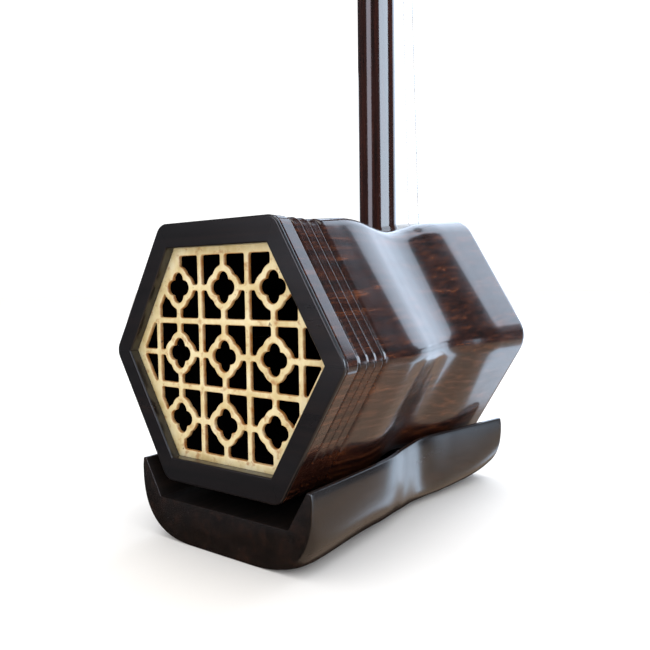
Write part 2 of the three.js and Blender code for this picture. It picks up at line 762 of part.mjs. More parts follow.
for (const name of ["inner", "outer"]) {
  add(erhu, `${name}_peg`, peg(name), rosewood);
  add(erhu, `${name}_peg_cap`, pegCap(name), bone);
  add(erhu, `${name}_winding`, winding(name), steel);
  add(erhu, `${name}_string`, string(name), steel);
}

// The box round the whole instrument runs from the pin's head to the window face.
const pinHead = PIN_STRING_Y - PIN_HEAD_GAP - PIN_HEAD_LENGTH;
erhu.position.y = -(WINDOW_Y + pinHead) / 2;
const part = new THREE.Group();
part.add(erhu);

export default part;
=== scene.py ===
# The erhu's looks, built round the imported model. Metres, +Z up. The lattice window faces +Y
# and the skin faces -Y. The neck's axis is vertical, and lengths along the resonator are
# counted from its window end.
import random
from math import acos, asin, atan2, cos, exp, pi, radians, sin, sqrt, tan

import bmesh
import bpy
from mathutils import Matrix, Quaternion, Vector


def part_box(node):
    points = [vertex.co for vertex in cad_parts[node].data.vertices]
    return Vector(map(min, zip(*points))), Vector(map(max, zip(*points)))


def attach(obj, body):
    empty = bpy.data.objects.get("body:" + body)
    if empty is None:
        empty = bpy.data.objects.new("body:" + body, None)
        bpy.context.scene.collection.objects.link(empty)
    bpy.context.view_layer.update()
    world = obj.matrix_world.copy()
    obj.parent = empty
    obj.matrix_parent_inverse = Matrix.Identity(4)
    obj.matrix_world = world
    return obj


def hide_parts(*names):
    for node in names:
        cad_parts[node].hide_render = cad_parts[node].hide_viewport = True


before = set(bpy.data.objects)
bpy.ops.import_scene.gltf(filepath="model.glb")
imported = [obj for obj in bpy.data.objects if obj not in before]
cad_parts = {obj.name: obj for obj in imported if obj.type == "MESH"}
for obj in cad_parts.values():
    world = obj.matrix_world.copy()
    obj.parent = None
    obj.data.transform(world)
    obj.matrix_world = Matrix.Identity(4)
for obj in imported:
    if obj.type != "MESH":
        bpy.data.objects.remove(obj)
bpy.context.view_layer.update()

# ---- Places and sizes, from the frame and from the design's own dimensions ----

ROOT3 = sqrt(3)
GAP = 0.0003  # between pieces that are glued or pressed together
NECK_HOLE_GAP = 0.0002
PEG_HOLE_GAP = 0.00008
PIN_HOLE_GAP = 0.00005
WIRE_GAP = 0.00002  # between a string and the peg or pin it goes round

WINDOW_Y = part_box("window_frame_top")[1].y
SKIN_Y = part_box("side_panel_top")[0].y
BODY_LENGTH = WINDOW_Y - SKIN_Y
BODY_AXIS_Z = (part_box("side_panel_top")[1].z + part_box("side_panel_bottom")[0].z) / 2
NECK_Y = (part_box("base_screw")[0].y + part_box("base_screw")[1].y) / 2

BODY_PROFILE = [
    (0, 0.045), (0.023, 0.0452), (0.031, 0.04595), (0.039, 0.04665), (0.047, 0.04645),
    (0.055, 0.0454), (0.063, 0.0444), (0.071, 0.04395), (0.079, 0.04445), (0.087, 0.04595),
    (0.095, 0.04775), (0.103, 0.04915), (0.112, 0.0501), (0.121, 0.051), (0.13, 0.0519),
]
WINDOW_APOTHEM = 0.045
CORNER_RADIUS_WINDOW = 0.005
CORNER_RADIUS_SKIN = 0.012
BULGE_START = 0.022
BEAD_STARTS = (0.0082, 0.0127, 0.0172)
BEAD_WIDTH = 0.004
BEAD_GROOVE_DEPTH = 0.0008
BAND_START = 0.0014
BAND_END = 0.0072
SKIN_EDGE_ROUND = 0.0012
WALL = 0.007
PANEL_SEAM = 0.00003

FRAME_DEPTH = 0.0011
FRAME_LIP_DEPTH = 0.0035
OPENING_TOP = 0.0365
OPENING_SIDE = 0.038
LATTICE_FRONT = 0.0038
LATTICE_THICKNESS = 0.0015
LATTICE_OVERLAP = 0.0016
LATTICE_BORDER = 0.0026
PITCH_X = 0.02165
PITCH_Z = 0.02296
BAR_WIDTH = 0.0021
LOBE_OFFSET = 0.0028
LOBE_HOLE_RADIUS = 0.0025
LOBE_RING_WIDTH = 0.0023
NODE_CHAMFER = 0.0019

NECK_RADIUS_LOW = 0.00825
NECK_RADIUS_HIGH = 0.0072
NECK_TAPER = (0.125, 0.6)
NECK_FOOT_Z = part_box("neck")[0].z
NECK_STRAIGHT_TOP = 0.742
HEAD_BEND_RADIUS = 0.056
HEAD_BEND_ANGLE = radians(62)
HEAD_HALF_WIDTH = 0.0084
HEAD_HALF_DEPTH = 0.0125
INLAY_THICKNESS = 0.003

BASE_LENGTH = BODY_LENGTH + 0.004
BASE_RIM_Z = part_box("base")[1].z
BASE_LIP = 0.0017
BASE_FLAT = 0.32
BASE_SIDE_BULGE = 0.0004
BASE_FULLNESS = [(0, 2.6), (0.008, 3.8), (0.042, 3.4), (0.085, 5.4), (0.112, 4.4), (0.134, 2.7)]
BASE_PROFILE = [
    (0, 0.0384), (0.042, 0.0386), (0.062, 0.0359),
    (0.08, 0.0342), (0.1, 0.0378), (0.134, 0.0456),
]
FLOOR_CLEARANCE = 0.0066
MORTISE_DEPTH = 0.005
SCREW_RADIUS = 0.0022
SCREW_HEAD_RADIUS = 0.0042
SCREW_HEAD_DEPTH = 0.0024
PILOT_TOP = 0.0304

SKIN_THICKNESS = 0.0008
SKIN_INSET = 0.0006
SKIN_FACE_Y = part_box("python_skin")[0].y
BRIDGE_Z = 0.07
BRIDGE_HEIGHT = 0.0074
BRIDGE_FOOT = 0.0075
NOTCH_X = 0.0029

PEG_Z = {"inner": 0.705, "outer": 0.628}
PEG_NOSE_RADIUS = {"inner": 0.0044, "outer": 0.0032}
PEG_SHAFT_RADIUS = 0.0047
PEG_HANDLE = (0.017, 0.092)
PEG_CAP_LENGTH = 0.007

STRING_RADIUS = {"inner": 0.00025, "outer": 0.00016}
STRING_SIDE = {"inner": -1, "outer": 1}
LOOP_Z = 0.455
LOOP_REACH = 0.018
LOOP_THREAD = 0.0011
LOOP_TURNS = 8
LOOP_STRING_X = 0.0017
LOOP_STRING_Y = NECK_Y - 0.02
PIN_Z = 0.0052
PIN_RADIUS = 0.0015
PIN_HOLE_DEPTH = 0.009
PIN_STRING_Y = NECK_Y - 0.0338

SIDES = {
    "top": 90, "upper_right": 30, "lower_right": -30,
    "bottom": -90, "lower_left": -150, "upper_left": 150,
}

# What the polish reflects, by direction from the body. Azimuths are in degrees from -Y towards
# -X. The tabletop starts a little below the horizon, and further down between some azimuths.
TABLE_DROP = sin(radians(10))
TABLE_GAPS = [(-180, 10.5, 18), (10.5, 24, 30.3), (54.5, 75, 22)]
SHADE_EDGE = -2
WINDOWS = [(-63, 24), (50.3, 75)]
WINDOW_FOOT_TOP = 0.07
ROOM_COLOR = (0.05, 0.055, 0.065)
WINDOW_COLOR = (1.7, 2.05, 2.5)
TABLE_COLOR = (0.5, 0.38, 0.29)
SHADE_COLOR = (0.02, 0.014, 0.012)


# ---- Curves ----

def spline(points):
    """A smooth curve's height as a function of its first coordinate, which never turns back."""
    last = len(points) - 1

    def at(share):
        index = min(int(share * last), last - 1)
        t = share * last - index
        near = [points[max(0, min(last, index + k))] for k in (-1, 0, 1, 2)]

        def blend(k):
            p0, p1, p2, p3 = (p[k] for p in near)
            v0, v1 = (p2 - p0) / 2, (p3 - p1) / 2
            cubic, square = 2 * p1 - 2 * p2 + v0 + v1, 3 * p2 - 3 * p1 - 2 * v0 - v1
            return cubic * t**3 + square * t**2 + v0 * t + p1

        return blend(0), blend(1)

    def height(x):
        low, high = 0.0, 1.0
        for _ in range(28):
            middle = (low + high) / 2
            if at(middle)[0] < x:
                low = middle
            else:
                high = middle
        return at(low)[1]

    return height


def steps(start, end, count):
    return [start + (end - start) * i / count for i in range(count + 1)]


def quarter(radius, count):
    """An arc of a quarter turn that leaves a face: how far along it, and how far in from it."""
    return [(radius * sin(a), radius * (1 - cos(a))) for a in steps(0, pi / 2, count)]


def arc(a, b, radius, start, end, count):
    """Points round part of a circle in the plane."""
    return [(a + radius * cos(angle), b + radius * sin(angle))
            for angle in steps(start, end, count)]


def moved(start, pairs):
    """The pairs with their first number counted from a start."""
    return [(start + along, depth) for along, depth in pairs]


def circle(count):
    """The cosine and sine of each step round a full turn."""
    return arc(0, 0, 1, 0, 2 * pi, count)[:-1]


def smoothstep(x, low, high):
    share = max(0.0, min(1.0, (x - low) / (high - low)))
    return share * share * (3 - 2 * share)


def fillet(before, corner, after, radius, count=5):
    """Points of an arc that rounds a corner between two neighbours, in the plane."""
    p, a, b = Vector(corner), Vector(before), Vector(after)
    to_a, to_b = (a - p).normalized(), (b - p).normalized()
    half = to_a.angle(to_b) / 2
    centre = p + (to_a + to_b).normalized() * (radius / sin(half))
    first = p + to_a * (radius / tan(half)) - centre
    last = p + to_b * (radius / tan(half)) - centre
    return [tuple(centre + first.slerp(last, i / count) * radius) for i in range(count + 1)]


body_curve = spline(BODY_PROFILE[1:])
base_curve = spline(BASE_PROFILE)
fullness_curve = spline(BASE_FULLNESS)


def body_apothem(t):
    return WINDOW_APOTHEM if t < BULGE_START + 0.001 else body_curve(min(t, BODY_LENGTH))


def corner_radius(t):
    share = max(0.0, min(1.0, (t - BULGE_START) / (BODY_LENGTH - BULGE_START)))
    return CORNER_RADIUS_WINDOW + (CORNER_RADIUS_SKIN - CORNER_RADIUS_WINDOW) * share


def neck_radius(z):
    return NECK_RADIUS_LOW + (NECK_RADIUS_HIGH - NECK_RADIUS_LOW) * smoothstep(z, *NECK_TAPER)


# ---- Meshes ----

def loft(rings):
    """Vertices and faces of a closed solid over rings of equal counts of points."""
    size = len(rings[0])
    points = [p for ring in rings for p in ring]
    faces = []
    for start in range(0, (len(rings) - 1) * size, size):
        for j in range(size):
            a, b = start + j, start + (j + 1) % size
            faces.append((a, b, b + size, a + size))
    last = len(points) - size
    faces.append(tuple(reversed(range(size))))
    faces.append(tuple(range(last, last + size)))
    return points, faces


def shade(mesh, sharp=32):
    """Smooth faces that point out, with sharp edges where the surface turns by so many degrees."""
    bm = bmesh.new()
    bm.from_mesh(mesh)
    bmesh.ops.remove_doubles(bm, verts=bm.verts, dist=1e-7)
    bmesh.ops.recalc_face_normals(bm, faces=bm.faces)
    for face in bm.faces:
        face.smooth = True
    for edge in bm.edges:
        if len(edge.link_faces) == 2:
            edge.smooth = edge.calc_face_angle(0) < radians(sharp)
    bm.to_mesh(mesh)
    bm.free()


def place(name, data):
    obj = bpy.data.objects.new(name, data)
    bpy.context.scene.collection.objects.link(obj)
    return obj


def new_object(name, points, faces):
    mesh = bpy.data.meshes.new(name)
    mesh.from_pydata([tuple(p) for p in points], [], faces)
    shade(mesh)
    return place(name, mesh)


def apply_modifiers(obj):
    graph = bpy.context.evaluated_depsgraph_get()
    mesh = bpy.data.meshes.new_from_object(obj.evaluated_get(graph))
    obj.modifiers.clear()
    old = obj.data
    obj.data = mesh
    bpy.data.meshes.remove(old)


def cut(obj, *cutters):
    """Takes the cutters' solids out of obj."""
    for cutter in cutters:
        modifier = obj.modifiers.new("cut", "BOOLEAN")
        modifier.operation = "DIFFERENCE"
        modifier.solver = "EXACT"
        modifier.object = cutter
    apply_modifiers(obj)
    for cutter in cutters:
        bpy.data.objects.remove(cutter)


def bevel(obj, width, angle=35):
    modifier = obj.modifiers.new("bevel", "BEVEL")
    modifier.width = width
    modifier.segments = 2
    modifier.limit_method = "ANGLE"
    modifier.angle_limit = radians(angle)


def dress(obj, material, body="instrument", sharp=32):
    """Gives a piece its finish and its body, and hides the CAD node that it is named after."""
    shade(obj.data, sharp)
    obj.data.materials.clear()
    obj.data.materials.append(material)
    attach(obj, body)
    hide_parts(obj.name.removesuffix("_fine"))
    return obj


def cylinder(axis, radius, start, end, centre, sides=48):
    """A cutter along Y or Z, between two places. Its centre line is at x = 0 and at centre."""
    rings = []
    for end_place in (start, end):
        section = [(radius * c, centre + radius * s) for c, s in circle(sides)]
        rings.append([(a, b, end_place) if axis == "Z" else (a, end_place, b) for a, b in section])
    return new_object("cutter", *loft(rings))


def turned(name, profile, z, sides=64, flutes=None):
    """A piece turned on an axis along Y through the neck's plane: profile is (radius, y)."""
    rings = []
    for radius, y in profile:
        ring = []
        for c, s in circle(sides):
            r = max(radius, 1e-5) * (flutes(c, y) if flutes else 1)
            ring.append((r * c, NECK_Y + y, z + r * s))
        rings.append(ring)
    return new_object(name, *loft(rings))


def tube(name, path, radius, sides=10):
    """A round tube along a path of points, its sections turned with the path."""
    path = [Vector(p) for p in path]
    normal = None
    rings = []
    for behind, point, ahead in zip([path[0], *path], path, [*path[1:], path[-1]]):
        along = (ahead - behind).normalized()
        if normal is None:
            normal = along.orthogonal().normalized()
        normal = (normal - along * normal.dot(along)).normalized()
        other = along.cross(normal)
        rings.append([point + (normal * c + other * s) * radius for c, s in circle(sides)])
    return new_object(name, *loft(rings))


# ---- Node materials ----

class Nodes:
    """Short calls for the nodes that the finishes and the room's light share."""

    def __init__(self, tree):
        self.tree = tree

    def node(self, kind, values=(), **settings):
        made = self.tree.nodes.new(kind)
        for key, value in settings.items():
            setattr(made, key, value)
        for key, value in dict(values).items():
            self.put(made.inputs[key], value)
        return made

    def put(self, socket, value):
        if isinstance(value, bpy.types.NodeSocket):
            self.tree.links.new(value, socket)
        else:
            socket.default_value = value

    def math(self, operation, a, b=0.0, clamp=False):
        return self.node("ShaderNodeMath", {0: a, 1: b}, operation=operation, use_clamp=clamp).outputs[0]

    def mix(self, factor, a, b):
        made = self.node("ShaderNodeMix", {0: factor}, data_type="RGBA")
        for socket, value in ((made.inputs[6], a), (made.inputs[7], b)):
            self.put(socket, value if isinstance(value, bpy.types.NodeSocket) else (*value, 1))
        return made.outputs[2]

    def within(self, value, low, high):
        """1 between two limits and 0 outside them, with a short ramp at each."""
        rise = self.math("MULTIPLY", self.math("SUBTRACT", value, low), 40.0, clamp=True)
        fall = self.math("MULTIPLY", self.math("SUBTRACT", high, value), 40.0, clamp=True)
        return self.math("MULTIPLY", rise, fall)


class Finish(Nodes):
    """A procedural material."""

    def __init__(self, name, **sockets):
        self.material = bpy.data.materials.new(name)
        self.material.use_nodes = True
        super().__init__(self.material.node_tree)
        self.tree.nodes.clear()
        self.shader = self.node("ShaderNodeBsdfPrincipled")
        output = self.node("ShaderNodeOutputMaterial")
        self.tree.links.new(self.shader.outputs[0], output.inputs[0])
        self.place = self.node("ShaderNodeTexCoord").outputs["Object"]
        self.set(**sockets)

    def set(self, **sockets):
        for key, value in sockets.items():
            self.put(self.shader.inputs[SOCKET_NAMES.get(key, key.capitalize())], value)

    def stretched(self, x, y, z, shift=(0, 0, 0)):
        scaled = self.node("ShaderNodeVectorMath", {0: self.place, 1: (x, y, z)}, operation="MULTIPLY")
        shifted = self.node("ShaderNodeVectorMath", {0: scaled.outputs[0], 1: shift}, operation="ADD")
        return shifted.outputs[0]

    def noise(self, vector, detail=3.0, roughness=0.55, distortion=0.0):
        values = {"Vector": vector, "Scale": 1.0, "Detail": detail,
                  "Roughness": roughness, "Distortion": distortion}
        return self.node("ShaderNodeTexNoise", values).outputs[0]

    def ramp(self, factor, *stops):
        made = self.node("ShaderNodeValToRGB", {0: factor})
        elements = made.color_ramp.elements
        for index, (position, color) in enumerate(stops):
            element = elements[index] if index < 2 else elements.new(position)
            element.position = position
            if not hasattr(color, "__len__"):
                color = (color, color, color)
            element.color = (*color, 1)
        return made.outputs[0]

    def bump(self, height, strength, distance):
        values = {"Height": height, "Strength": strength, "Distance": distance}
        self.put(self.shader.inputs["Normal"], self.node("ShaderNodeBump", values).outputs[0])


SOCKET_NAMES = {
    "color": "Base Color", "coat": "Coat Weight", "coat_roughness": "Coat Roughness",
    "specular": "Specular IOR Level", "sheen": "Sheen Weight",
}


def wood(name, dark, mid, light, streak, roughness, gloss, shift, along="Y",
         pores=0.5, figure=0.5, specular=0.5, coat_roughness=0.06):
    """Lacquered hardwood: streaks and pores that run along one axis of the object."""
    finish = Finish(name, coat=gloss, coat_roughness=coat_roughness, specular=specular)
    long = {"X": (0.06, 1, 1), "Y": (1, 0.06, 1), "Z": (1, 1, 0.06)}[along]
    offset = (shift, shift * 1.7, shift * 0.6)

    def grain(size, stretch=1.0, **options):
        scale = [(1 if share == 1 else share * stretch) / size for share in long]
        return finish.noise(finish.stretched(*scale, shift=offset), **options)

    broad = grain(streak * 3.2, 0.9, detail=2, distortion=0.2)
    streaks = grain(streak, 0.8, detail=5, roughness=0.6, distortion=0.12)
    fine = grain(streak / 5, 0.5, detail=3, roughness=0.6)
    mottle = grain(streak * 2.2, 7.0, detail=4, roughness=0.6, distortion=0.3)
    body = finish.ramp(streaks, (0.36, dark), (0.52, mid), (0.72, light))
    toned = finish.mix(finish.ramp(broad, (0.35, 0.0), (0.68, figure)), body, dark)
    toned = finish.mix(finish.ramp(mottle, (0.42, 0.0), (0.6, figure * 0.8)), toned, mid)
    toned = finish.mix(finish.ramp(fine, (0.5, 0.0), (0.62, 0.45)), toned, dark)
    pore = finish.ramp(grain(streak / 11, 0.45, detail=2, roughness=0.5), (0.62, 0.0), (0.7, 1.0))
    toned = finish.mix(finish.math("MULTIPLY", pore, pores), toned, (0.006, 0.004, 0.003))
    finish.set(color=toned)
    wear = finish.ramp(grain(streak * 3, 3.0, detail=4), (0.3, roughness * 0.85), (0.7, roughness * 1.2))
    finish.set(roughness=wear)
    relief = finish.math("MULTIPLY", streaks, 0.25)
    finish.bump(finish.math("SUBTRACT", relief, finish.math("MULTIPLY", pore, pores)), 0.12, 0.00008)
    return finish.material


def bone():
    """Cream bone, scorched where an edge turns away from the front."""
    finish = Finish("bone", coat=0.15, coat_roughness=0.25)
    patches = finish.noise(finish.stretched(160, 160, 160), detail=4)
    fibres = finish.noise(finish.stretched(900, 900, 120), detail=3)
    cream = finish.ramp(patches, (0.3, (0.66, 0.5, 0.22)), (0.55, (0.8, 0.66, 0.36)),
                        (0.75, (0.86, 0.76, 0.5)))
    cream = finish.mix(finish.ramp(fibres, (0.45, 0.0), (0.7, 0.25)), cream, (0.6, 0.43, 0.2))
    normal = finish.node("ShaderNodeTexCoord").outputs["Normal"]
    facing = finish.node("ShaderNodeSeparateXYZ", {0: normal}).outputs[1]
    turned_away = finish.math("SUBTRACT", 1.0, finish.math("ABSOLUTE", facing))
    heat = finish.noise(finish.stretched(330, 330, 330, shift=(3, 1, 2)), detail=3)
    burnt = finish.math("MULTIPLY", finish.ramp(turned_away, (0.02, 0.0), (0.3, 1.0)),
                        finish.ramp(heat, (0.3, 0.45), (0.6, 1.0)))
    burnt = finish.math("MAXIMUM", burnt, finish.ramp(heat, (0.56, 0.0), (0.72, 0.75)))
    scorched = finish.mix(burnt, cream, (0.42, 0.17, 0.035))
    spots = finish.noise(finish.stretched(420, 420, 420, shift=(9, 4, 7)), detail=2)
    scorched = finish.mix(finish.ramp(spots, (0.71, 0.0), (0.76, 0.8)), scorched, (0.1, 0.04, 0.012))
    finish.set(color=scorched, roughness=finish.ramp(patches, (0.3, 0.38), (0.7, 0.52)))
    finish.bump(finish.math("ADD", patches, fibres), 0.25, 0.0001)
    return finish.material


def snakeskin():
    """Lozenge scales in cream and brown, with dark blotches across them."""
    finish = Finish("snakeskin", coat=0.25, coat_roughness=0.2, specular=0.4)
    x, _, z = finish.node("ShaderNodeSeparateXYZ", {0: finish.place}).outputs
    wide = finish.math("DIVIDE", x, SCALE_WIDTH)
    high = finish.math("DIVIDE", z, SCALE_HEIGHT)
    edge = None
    for sign in ("ADD", "SUBTRACT"):
        wrapped = finish.math("PINGPONG", finish.math(sign, wide, high), 0.5)
        edge = wrapped if edge is None else finish.math("MINIMUM", edge, wrapped)
    groove = finish.ramp(edge, (0.0, 1.0), (0.11, 0.0))
    blotch = finish.noise(finish.stretched(52, 52, 36), detail=2.5, distortion=0.6)
    ground = finish.ramp(blotch, (0.4, (0.5, 0.4, 0.24)), (0.52, (0.3, 0.2, 0.09)),
                         (0.6, (0.05, 0.03, 0.018)))
    fine = finish.noise(finish.stretched(700, 700, 700), detail=3)
    ground = finish.mix(finish.ramp(fine, (0.4, 0.0), (0.7, 0.3)), ground, (0.16, 0.1, 0.05))
    finish.set(color=finish.mix(groove, ground, (0.08, 0.05, 0.03)),
               roughness=finish.ramp(fine, (0.3, 0.34), (0.7, 0.5)))
    finish.bump(fine, 0.3, 0.00006)
    return finish.material


def metal(name, color, roughness):
    """Drawn metal, its fine lines running along Z."""
    finish = Finish(name, metallic=1.0)
    drawn = finish.noise(finish.stretched(2500, 2500, 150), detail=3)
    finish.set(color=finish.ramp(drawn, (0.3, tuple(c * 0.72 for c in color)), (0.65, color)),
               roughness=finish.ramp(drawn, (0.3, roughness * 0.8), (0.7, roughness * 1.5)))
    finish.bump(drawn, 0.15, 0.00002)
    return finish.material


def fabric(name, dark, light, size, sheen):
    """Fibres of one size, matted or twisted."""
    finish = Finish(name, sheen=sheen)
    hairs = finish.stretched(1 / size, 1 / size, 1 / size)
    hairs = finish.noise(hairs, detail=5, roughness=0.7, distortion=1.5)
    twist = finish.noise(finish.stretched(0.4 / size, 0.4 / size, 3 / size), detail=2)
    finish.set(color=finish.ramp(hairs, (0.35, dark), (0.65, light)),
               roughness=finish.ramp(hairs, (0.3, 0.8), (0.7, 0.98)))
    finish.bump(finish.math("ADD", hairs, twist), 0.7, size * 0.5)
    return finish.material


# ---- Camera, lights and floor ----

def camera():
    """The viewpoint: low, close, and round towards the body's left side."""
    yaw, pitch, roll = 0.627, 0.064, -0.014
    focal_in_widths = 1.0064185
    level = cos(pitch)
    looking = Vector((sin(yaw) * level, -cos(yaw) * level, -sin(pitch)))
    right = looking.cross(Vector((0, 0, 1))).normalized()
    up = right.cross(looking)
    axis_x = right * cos(roll) + up * sin(roll)
    axis_y = up * cos(roll) - right * sin(roll)
    turn = Matrix((axis_x, axis_y, -looking)).transposed().to_4x4()
    data = bpy.data.cameras.new("camera")
    data.sensor_width = 36
    data.lens = focal_in_widths * data.sensor_width
    data.clip_start = 0.01
    obj = place("camera", data)
    window_centre = Vector((0, WINDOW_Y, BODY_AXIS_Z))
    eye = window_centre + Vector((-0.15429, 0.15158, 0.02389))
    obj.matrix_world = Matrix.Translation(eye) @ turn
    bpy.context.scene.camera = obj


def softbox(name, azimuth, elevation, width, height, radiance, tint, distance=1.5,
            soft=True, lean=0):
    """A rectangular light that faces the body. Azimuth is in degrees from -Y towards -X."""
    a, e = radians(azimuth), radians(elevation)
    outward = Vector((-sin(a) * cos(e), -cos(a) * cos(e), sin(e)))
    data = bpy.data.lights.new(name, "AREA")
    data.shape = "RECTANGLE"
    data.size = width
    data.size_y = height
    data.energy = radiance * pi * width * height
    data.color = tint
    obj = place(name, data)
    obj.location = Vector((0, 0, BODY_AXIS_Z)) + outward * distance
    obj.rotation_mode = "QUATERNION"
    turned_over = Quaternion((0, 0, 1), -radians(lean))
    obj.rotation_quaternion = outward.to_track_quat("Z", "Y") @ turned_over
    obj.visible_camera = False
    obj.visible_diffuse = soft


def room_light(nodes):
    """What a polished surface sees where no light is: a dim room, a window's foot and a tabletop."""
    direction = nodes.node("ShaderNodeTexCoord").outputs["Generated"]
    x, y, z = nodes.node("ShaderNodeSeparateXYZ", {0: direction}).outputs
    azimuth = nodes.math("ARCTAN2", nodes.math("SUBTRACT", 0.0, x), nodes.math("SUBTRACT", 0.0, y))
    edge = TABLE_DROP
    for start, end, drop in TABLE_GAPS:
        extra = sin(radians(drop)) - TABLE_DROP
        share = nodes.within(azimuth, radians(start), radians(end))
        edge = nodes.math("ADD", edge, nodes.math("MULTIPLY", share, extra))
    tabletop = nodes.within(nodes.math("ADD", z, edge), -3.0, 0.0)
    shaded = nodes.within(azimuth, -4.0, radians(SHADE_EDGE))
    low = nodes.within(z, -2.0, WINDOW_FOOT_TOP)
    foot = 0.0
    for start, end in WINDOWS:
        across = nodes.within(azimuth, radians(start), radians(end))
        foot = nodes.math("MAXIMUM", foot, nodes.math("MULTIPLY", across, low))
    seen = nodes.mix(foot, ROOM_COLOR, WINDOW_COLOR)
    return nodes.mix(tabletop, seen, nodes.mix(shaded, TABLE_COLOR, SHADE_COLOR))


def studio():
    """The lights, and a background that is plain white for all but glossy rays."""
    softbox("band_light", -0.5, 23.5, 1.38, 1.25, 2.6, (0.69, 0.82, 1.0), lean=15)
    softbox("side_light", 101, 17, 1.5, 1.0, 9.0, (0.72, 0.85, 1.0), soft=False)
    softbox("front_light", 197, 17, 0.7, 1.0, 3.8, (0.86, 0.86, 1.0), soft=False)
    softbox("top_light", -42, 10, 0.95, 0.6, 1.3, (0.86, 0.93, 1.0))
    softbox("overhead", 60, 84, 1.2, 1.2, 2.2, (1.0, 0.99, 0.97), distance=1.7)
    world = bpy.data.worlds.new("studio")
    world.use_nodes = True
    nodes = Nodes(world.node_tree)
    bright = nodes.tree.nodes["Background"]
    bright.inputs[0].default_value = (1, 1, 1, 1)
    bright.inputs[1].default_value = 1.2
    dim = nodes.node("ShaderNodeBackground", {0: room_light(nodes)})
    glossy = nodes.node("ShaderNodeLightPath").outputs["Is Glossy Ray"]
    either = nodes.node("ShaderNodeMixShader", {0: glossy, 1: bright.outputs[0], 2: dim.outputs[0]})
    nodes.put(nodes.tree.nodes["World Output"].inputs[0], either.outputs[0])
    bpy.context.scene.world = world
    bpy.context.scene.view_settings.view_transform = "Standard"


def floor():
    """A white floor. Polished surfaces see the tabletop of room_light in its place."""
    finish = Finish("floor", roughness=0.9, specular=0.1)
    mottle = finish.noise(finish.stretched(9, 9, 9), detail=4)
    finish.set(color=finish.ramp(mottle, (0.3, (0.88, 0.86, 0.84)), (0.7, (0.92, 0.9, 0.88))))
    reach = 6
    corners = [(-reach, -reach, 0), (reach, -reach, 0), (reach, reach, 0), (-reach, reach, 0)]
    obj = new_object("floor", corners, [(0, 1, 2, 3)])
    obj.data.materials.append(finish.material)
    obj.visible_glossy = False


# ---- Resonator ----

def bead_stations():
    """Distances and inward depths that draw the plain band, the beads and their grooves."""
    groove = BEAD_GROOVE_DEPTH
    stations = moved(BAND_START, [(0, 0.0005), (0.0002, 0.0001), (0.0005, 0), (0.0006, 0)])
    stations += moved(BAND_END, [(-0.0006, 0), (-0.0005, 0), (-0.0002, 0.0001), (0.0002, 0.0004)])
    stations += [(BEAD_STARTS[0] - 0.0002, groove), (BEAD_STARTS[0], groove)]
    for start in BEAD_STARTS:
        end = start + BEAD_WIDTH
        near = [(0.0003, 0.00052), (0.0005, 0.00038), (0.0007, 0.00034), (0.0008, 0.00033)]
        stations += moved(start, near)
        stations += moved(end - 0.0006, [(-0.0001, 0.00002), *quarter(0.0005, 5)])
        stations += moved(end, [(0, groove * 1.1), (0.00025, groove * 1.15)])
    return stations + moved(BULGE_START, [(-0.0001, 0.0006), (0.0001, 0.0002), (0.0004, 0)])


def outer_stations():
    """Distance from the window end, half width across flats, of each ring of a panel."""
    stations = [(t, WINDOW_APOTHEM - depth) for t, depth in bead_stations()]
    last = BODY_LENGTH - SKIN_EDGE_ROUND
    stations += [(t, body_apothem(t)) for t in steps(BULGE_START + 0.001, last, 72)]
    edge = [(along, body_apothem(last) - inset) for along, inset in quarter(SKIN_EDGE_ROUND, 5)]
    return stations + moved(last, edge[1:])


def side_point(degrees, out, across, y):
    """A point given by its distance out from the body's axis and across one side."""
    angle = radians(degrees)
    return Vector((out * cos(angle) - across * sin(angle), y,
                   BODY_AXIS_Z + out * sin(angle) + across * cos(angle)))


def side_outline(apothem, radius, flat_steps=8, arc_steps=7):
    """One side's outer face from mitre to mitre, as (out, across) pairs."""
    reach = (apothem - radius) / ROOT3
    half = [(apothem, across) for across in steps(0, reach, flat_steps)]
    half += arc(apothem - radius, reach, radius, 0, pi / 6, arc_steps)[1:]
    squeeze = 1 - PANEL_SEAM / half[-1][1]
    half = [(out, across * squeeze) for out, across in half]
    return [(out, -across) for out, across in reversed(half[1:])] + half


def panel_ring(degrees, name, t, apothem):
    """One section of a panel, with the rebate that holds the lattice near the window end."""
    inner = apothem - WALL if t > BULGE_START else WINDOW_APOTHEM - WALL
    rebate = (OPENING_TOP if name in ("top", "bottom") else OPENING_SIDE) + LATTICE_OVERLAP + GAP
    if t < LATTICE_FRONT + LATTICE_THICKNESS + GAP:
        inner = rebate
    outline = side_outline(apothem, corner_radius(t))
    reach = inner / ROOT3 - PANEL_SEAM
    outline += [(inner, reach), (inner, 0), (inner, -reach)]
    return [side_point(degrees, out, across, WINDOW_Y - t) for out, across in outline]


def side_panels(materials, inside):
    """Six staves. The two that the neck passes through have its hole. Their inner walls get a near-black
    painted shade.
    """
    for name, degrees in SIDES.items():
        rings = [panel_ring(degrees, name, t, a) for t, a in outer_stations()]
        obj = new_object(f"side_panel_{name}_fine", *loft(rings))
        if name in ("top", "bottom"):
            cut(obj, cylinder("Z", NECK_RADIUS_LOW + NECK_HOLE_GAP, 0, 0.15, NECK_Y, 64))
        dress(obj, materials[name])
        obj.data.materials.append(inside)
        out_dir = side_point(degrees, 1, 0, 0) - Vector((0, 0, BODY_AXIS_Z))
        # Faces on the inner walls take the second material, a near-black painted shade for the closed
        # body's dark inside.
        for face in obj.data.polygons:
            out = (face.center - Vector((0, face.center.y, BODY_AXIS_Z))).dot(out_dir)
            if out < body_apothem(WINDOW_Y - face.center.y) - WALL + 0.0012:
                face.material_index = 1


